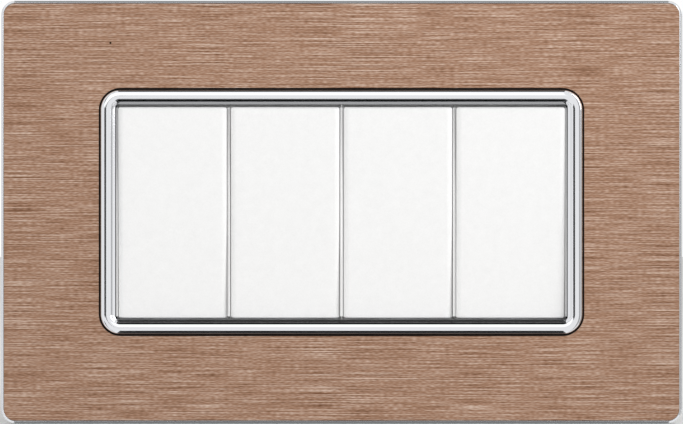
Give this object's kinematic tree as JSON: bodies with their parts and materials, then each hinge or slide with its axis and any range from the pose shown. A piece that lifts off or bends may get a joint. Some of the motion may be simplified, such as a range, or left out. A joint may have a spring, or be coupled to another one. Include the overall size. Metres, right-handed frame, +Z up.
{
  "type": "switch plate",
  "caption": "Flush wall plate of rocker light switches: brushed metal fascia, bright bezel, plain white rockers side by side on a screwed grid frame.",
  "frame": {"origin": "centre of the plate on the wall's plane, at the back of the grid frame", "axes": "+X to the right along the row of rockers, +Y into the wall, +Z up; the face looks to -Y"},
  "size_m": [0.145, 0.0329, 0.09],
  "materials": {
    "fascia": "rose-gold anodised, brushed lengthwise",
    "cover": "black moulded, silver plated on its rim and edges",
    "bezel": "bright plated",
    "grid": "moulded, dark grey",
    "screws": "zinc plated",
    "white": "moulded, fine matte",
    "base": "moulded, grey",
    "plunger": "moulded, natural",
    "spring": "drawn wire",
    "brass": "stamped"
  },
  "bodies": {
    "plate": {"fascia_sheet": "fascia", "cover_frame": "cover", "bezel_ring": "bezel", "grid_frame": "grid", "fixing_screws": "screws", "housing_1": "white", "base_1": "base", "common_terminal_1": "brass", "line_terminal_1": "brass", "terminal_screws_1": "screws", "housing_2": "white", "base_2": "base", "common_terminal_2": "brass", "line_terminal_2": "brass", "terminal_screws_2": "screws", "housing_3": "white", "base_3": "base", "common_terminal_3": "brass", "line_terminal_3": "brass", "terminal_screws_3": "screws", "housing_4": "white", "base_4": "base", "common_terminal_4": "brass", "line_terminal_4": "brass", "terminal_screws_4": "screws"},
    "rocker_1": {"rocker_1": "white", "spring_1": "spring"},
    "plunger_1": {"plunger_1": "plunger"},
    "contact_1": {"moving_contact_1": "brass"},
    "rocker_2": {"rocker_2": "white", "spring_2": "spring"},
    "plunger_2": {"plunger_2": "plunger"},
    "contact_2": {"moving_contact_2": "brass"},
    "rocker_3": {"rocker_3": "white", "spring_3": "spring"},
    "plunger_3": {"plunger_3": "plunger"},
    "contact_3": {"moving_contact_3": "brass"},
    "rocker_4": {"rocker_4": "white", "spring_4": "spring"},
    "plunger_4": {"plunger_4": "plunger"},
    "contact_4": {"moving_contact_4": "brass"}
  },
  "joints": [
    {"name": "rocker_1_tilt", "type": "hinge", "parent": "plate", "child": "rocker_1", "pos_m": [-0.036, -0.0042, 0], "axis": [-1, 0, 0], "range_deg": [0, 5]},
    {"name": "contact_1_seesaw", "type": "hinge", "parent": "plate", "child": "contact_1", "pos_m": [-0.036, 0.00754, 0], "axis": [-1, 0, 0], "range_deg": [-7.5, 0]},
    {"name": "plunger_1_slide", "type": "slide", "parent": "rocker_1", "child": "plunger_1", "axis": [0, -0.999, -0.0436], "range_m": [0, 0.0006], "stiffness_N_per_m": 200, "springref_m": -0.002, "deforming": ["spring_1"]},
    {"name": "rocker_2_tilt", "type": "hinge", "parent": "plate", "child": "rocker_2", "pos_m": [-0.012, -0.0042, 0], "axis": [-1, 0, 0], "range_deg": [0, 5]},
    {"name": "contact_2_seesaw", "type": "hinge", "parent": "plate", "child": "contact_2", "pos_m": [-0.012, 0.00754, 0], "axis": [-1, 0, 0], "range_deg": [-7.5, 0]},
    {"name": "plunger_2_slide", "type": "slide", "parent": "rocker_2", "child": "plunger_2", "axis": [0, -0.999, -0.0436], "range_m": [0, 0.0006], "stiffness_N_per_m": 200, "springref_m": -0.002, "deforming": ["spring_2"]},
    {"name": "rocker_3_tilt", "type": "hinge", "parent": "plate", "child": "rocker_3", "pos_m": [0.012, -0.0042, 0], "axis": [-1, 0, 0], "range_deg": [0, 5]},
    {"name": "contact_3_seesaw", "type": "hinge", "parent": "plate", "child": "contact_3", "pos_m": [0.012, 0.00754, 0], "axis": [-1, 0, 0], "range_deg": [-7.5, 0]},
    {"name": "plunger_3_slide", "type": "slide", "parent": "rocker_3", "child": "plunger_3", "axis": [0, -0.999, -0.0436], "range_m": [0, 0.0006], "stiffness_N_per_m": 200, "springref_m": -0.002, "deforming": ["spring_3"]},
    {"name": "rocker_4_tilt", "type": "hinge", "parent": "plate", "child": "rocker_4", "pos_m": [0.036, -0.0042, 0], "axis": [-1, 0, 0], "range_deg": [0, 5]},
    {"name": "contact_4_seesaw", "type": "hinge", "parent": "plate", "child": "contact_4", "pos_m": [0.036, 0.00754, 0], "axis": [-1, 0, 0], "range_deg": [-7.5, 0]},
    {"name": "plunger_4_slide", "type": "slide", "parent": "rocker_4", "child": "plunger_4", "axis": [0, -0.999, -0.0436], "range_m": [0, 0.0006], "stiffness_N_per_m": 200, "springref_m": -0.002, "deforming": ["spring_4"]}
  ],
  "couplings": [
    {"joint": "contact_1_seesaw", "follows": "rocker_1_tilt", "ratio": -1.5},
    {"joint": "contact_2_seesaw", "follows": "rocker_2_tilt", "ratio": -1.5},
    {"joint": "contact_3_seesaw", "follows": "rocker_3_tilt", "ratio": -1.5},
    {"joint": "contact_4_seesaw", "follows": "rocker_4_tilt", "ratio": -1.5}
  ]
}
